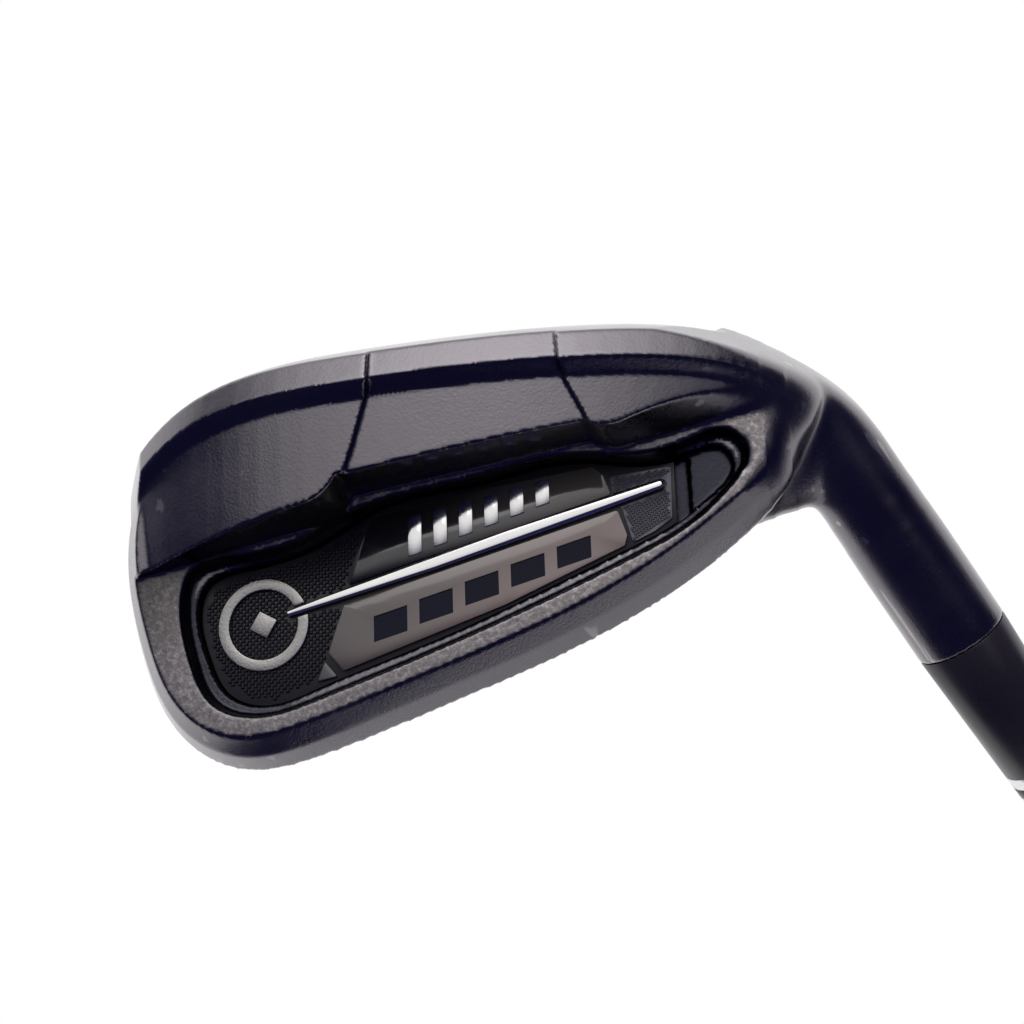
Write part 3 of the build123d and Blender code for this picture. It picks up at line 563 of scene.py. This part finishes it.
# ---------------------------------------------------------------------------
# Shaft: stepped steel tube, chrome plated, glued into the hosel over its tip.
# The butt runs parallel under the grip, then the diameter drops in small steps.
# ---------------------------------------------------------------------------
BUTT_RADIUS, TIP_RADIUS, SHAFT_WALL = 7.6, 4.7, 0.55
SHAFT_STEPS, STEP_LENGTH, FIRST_STEP = 14, 31.0, 330.0
outer_line = [(BUTT_RADIUS, 6.0)]
step_drop = (BUTT_RADIUS - TIP_RADIUS) / SHAFT_STEPS
for step in range(SHAFT_STEPS):
    level = FIRST_STEP + step * STEP_LENGTH
    outer_line += [(BUTT_RADIUS - step * step_drop, level),
                   (BUTT_RADIUS - (step + 0.5) * step_drop, level + 0.25),
                   (BUTT_RADIUS - (step + 1) * step_drop, level + 0.8)]
outer_line += [(TIP_RADIUS, 916.6)]
inner_line = [(radius - SHAFT_WALL, level) for radius, level in reversed(outer_line)]
chrome = surface_material("Shaft chrome", (0.78, 0.78, 0.80), 1.0, 0.10, spread=0.04, bump=0.01,
                          scratch_colour=(0.5, 0.5, 0.5), tint=0.06).material
finish_piece(lathe("shaft_tube", outer_line + inner_line), chrome, ["shaft"], 20.0)

finish_piece(trimmed("shaft_epoxy", "shaft_epoxy_film", 0), film, ["shaft_epoxy"])
brass = surface_material("Turned brass", (0.70, 0.52, 0.24), 1.0, 0.25).material
finish_piece(trimmed("tip_weight", "shaft_tip_weight", 0), brass, ["tip_weight"])

# Band: plain dark film wrapped round the shaft below the grip, with a thin pale line at each end.
band_dark = surface_material("Band film", (0.03, 0.03, 0.034), 0.0, 0.3, coat=0.4).material
band_pale = surface_material("Band line", (0.60, 0.60, 0.60), 0.2, 0.3, coat=0.4).material
band = lathe("shaft_band_film", [(7.6, 281.0), (7.7, 281.0), (7.7, 282.5), (7.7, 283.5), (7.7, 308.5),
                                 (7.7, 309.5), (7.7, 311.0), (7.6, 311.0)])
finish_piece(band, band_dark, ["shaft_band"])
band.data.materials.append(band_pale)
for polygon in band.data.polygons:
    middle = polygon.center.z * 1000.0
    if 282.5 < middle < 283.5 or 308.5 < middle < 309.5:
        polygon.material_index = 1

# ---------------------------------------------------------------------------
# Grip: moulded rubber sleeve over tape, with ribs round it, and its cap.
# ---------------------------------------------------------------------------
finish_piece(trimmed("grip_tape", "grip_tape_wrap", 0),
             surface_material("Paper tape", (0.62, 0.58, 0.48), 0.0, 0.7).material, ["grip_tape"])


def grip_radius(level):
    """Outer radius of the plain grip, between the radii measured along it."""
    points = [(6.0, 13.4), (40.0, 12.6), (110.0, 11.2), (200.0, 9.5), (267.0, 8.4)]
    for (z1, r1), (z2, r2) in zip(points, points[1:]):
        if level <= z2:
            return r1 + (r2 - r1) * (level - z1) / (z2 - z1)
    return 8.4


grip_profile = [(7.75, 6.0), (13.2, 6.0), (grip_radius(6.6), 6.6), (grip_radius(18.0), 18.0)]
RIBS, RIB_SPACING, RIB_DEPTH = 76, 3.1, 0.32
for rib in range(RIBS):
    level = 20.0 + rib * RIB_SPACING
    grip_profile += [(grip_radius(level), level), (grip_radius(level) - RIB_DEPTH, level + 0.35),
                     (grip_radius(level) - RIB_DEPTH, level + 0.75), (grip_radius(level), level + 1.1)]
grip_profile += [(8.5, 259.0), (8.42, 266.2), (8.1, 267.0), (7.75, 267.0)]
rubber = surface_material("Grip rubber", (0.022, 0.022, 0.024), 0.0, 0.62, spread=0.06, bump=0.5,
                          tint=0.25).material
finish_piece(lathe("grip_sleeve", grip_profile), rubber, ["grip"], 30.0)
cap_profile = [(2.25, 0.3), (2.55, 0.0), (6.2, 0.0), (6.5, 0.25), (7.5, 0.25), (7.8, 0.0), (10.8, 0.0),
               (12.0, 0.35), (12.95, 1.1), (13.35, 2.4), (13.4, 4.6), (13.15, 5.0), (13.15, 5.4), (13.4, 5.8),
               (13.3, 6.0), (2.25, 6.0)]
finish_piece(lathe("grip_end_cap", cap_profile), rubber, ["grip_cap"], 30.0)

# ---------------------------------------------------------------------------
# Stage: pale floor under the butt, soft lights, a white surround and the camera.
# ---------------------------------------------------------------------------
floor_mesh = bmesh.new()
bmesh.ops.create_grid(floor_mesh, x_segments=1, y_segments=1, size=0.45,
                      matrix=Matrix.Translation((0, 0, -0.003)))
floor = to_object(floor_mesh, "stage_floor")
floor_paint = bpy.data.materials.new("Stage paint")
floor_paint.use_nodes = True
floor_paint.node_tree.nodes["Principled BSDF"].inputs["Base Color"].default_value = (0.86, 0.86, 0.87, 1.0)
floor_paint.node_tree.nodes["Principled BSDF"].inputs["Roughness"].default_value = 0.9
floor.data.materials.append(floor_paint)

VIEW_RIGHT = Vector((0.80376, 0.15755, -0.57371))
VIEW_UP = Vector((0.52934, 0.25085, 0.81049))
VIEW_BACK = Vector((0.27161, -0.95512, 0.11823))
camera = bpy.data.objects.new("camera", bpy.data.cameras.new("camera"))
camera.data.lens = 62.38
camera.data.sensor_width = 36.0
camera.data.clip_start = 0.01
camera.data.clip_end = 50.0
seat = Matrix((VIEW_RIGHT, VIEW_UP, VIEW_BACK)).transposed().to_4x4()
seat.translation = Vector((25.302, -235.238, 965.707)) * MM
camera.matrix_world = seat
bpy.context.scene.collection.objects.link(camera)
bpy.context.scene.camera = camera

# White surround for the camera; reflections see a surround that is dark behind the camera.
world = bpy.data.worlds.new("Studio")
bpy.context.scene.world = world
world.use_nodes = True
sky = world.node_tree
sky.nodes.clear()
direction = node(sky, "ShaderNodeTexCoord")
HEAD_MIDDLE = Vector((-0.036, -0.012, 0.935))


def lobe(axis, low, high, gain):
    """Soft patch of light towards one direction."""
    toward = node(sky, "ShaderNodeVectorMath", {"operation": "DOT_PRODUCT"})
    toward.inputs[1].default_value = axis.normalized()
    sky.links.new(direction.outputs["Generated"], toward.inputs[0])
    soft = node(sky, "ShaderNodeMapRange", {"interpolation_type": "SMOOTHSTEP"},
                {"From Min": low, "From Max": high, "To Max": gain})
    sky.links.new(toward.outputs["Value"], soft.inputs["Value"])
    return soft.outputs["Result"]


patches = [
    lobe(-VIEW_BACK, 0.0, 0.35, 1.0),
    lobe(VIEW_RIGHT * -0.295 + VIEW_UP * 0.787 + VIEW_BACK * 0.541, 0.68, 0.93, 1.0),
    lobe(VIEW_RIGHT * -0.05 + VIEW_UP * 0.98 + VIEW_BACK * 0.15, 0.75, 0.97, 0.45),
    lobe(VIEW_RIGHT * 0.10 + VIEW_UP * 0.84 + VIEW_BACK * 0.53, 0.86, 0.97, 0.22),
    lobe(VIEW_RIGHT * 0.40 + VIEW_UP * 0.30 + VIEW_BACK * 0.87, 0.955, 0.995, 0.30),
]
total = patches[0]
for patch in patches[1:]:
    both = node(sky, "ShaderNodeMath", {"operation": "ADD"})
    sky.links.new(total, both.inputs[0])
    sky.links.new(patch, both.inputs[1])
    total = both.outputs[0]
tone = node(sky, "ShaderNodeMix", {"data_type": "RGBA", "clamp_factor": False})
tone.inputs["A"].default_value = (0.018, 0.018, 0.075, 1.0)
tone.inputs["B"].default_value = (1.0, 0.99, 1.0, 1.0)
sky.links.new(total, tone.inputs["Factor"])
lit = node(sky, "ShaderNodeBackground", None, {"Strength": 1.0})
sky.links.new(tone.outputs["Result"], lit.inputs["Color"])
seen = node(sky, "ShaderNodeBackground", None, {"Color": (1.0, 1.0, 1.0, 1.0), "Strength": 1.0})
ray = node(sky, "ShaderNodeLightPath")
choose = node(sky, "ShaderNodeMixShader")
sky.links.new(ray.outputs["Is Camera Ray"], choose.inputs["Fac"])
sky.links.new(lit.outputs[0], choose.inputs[1])
sky.links.new(seen.outputs[0], choose.inputs[2])
surround = node(sky, "ShaderNodeOutputWorld")
sky.links.new(choose.outputs[0], surround.inputs["Surface"])

# One square soft light, above and in front of the head.
lamp = bpy.data.lights.new("key", "AREA")
lamp.shape = "SQUARE"
lamp.size = 0.5
lamp.energy = 0.9
lamp.color = (1.0, 0.98, 0.97)
key = bpy.data.objects.new("key", lamp)
key_place = HEAD_MIDDLE + (VIEW_UP * 0.75 + VIEW_BACK * 0.45 - VIEW_RIGHT * 0.25)
aim = (HEAD_MIDDLE - key_place).to_track_quat("-Z", "Y").to_matrix().to_4x4()
aim.translation = key_place
key.matrix_world = aim
bpy.context.scene.collection.objects.link(key)
bpy.context.scene.view_settings.view_transform = "Standard"
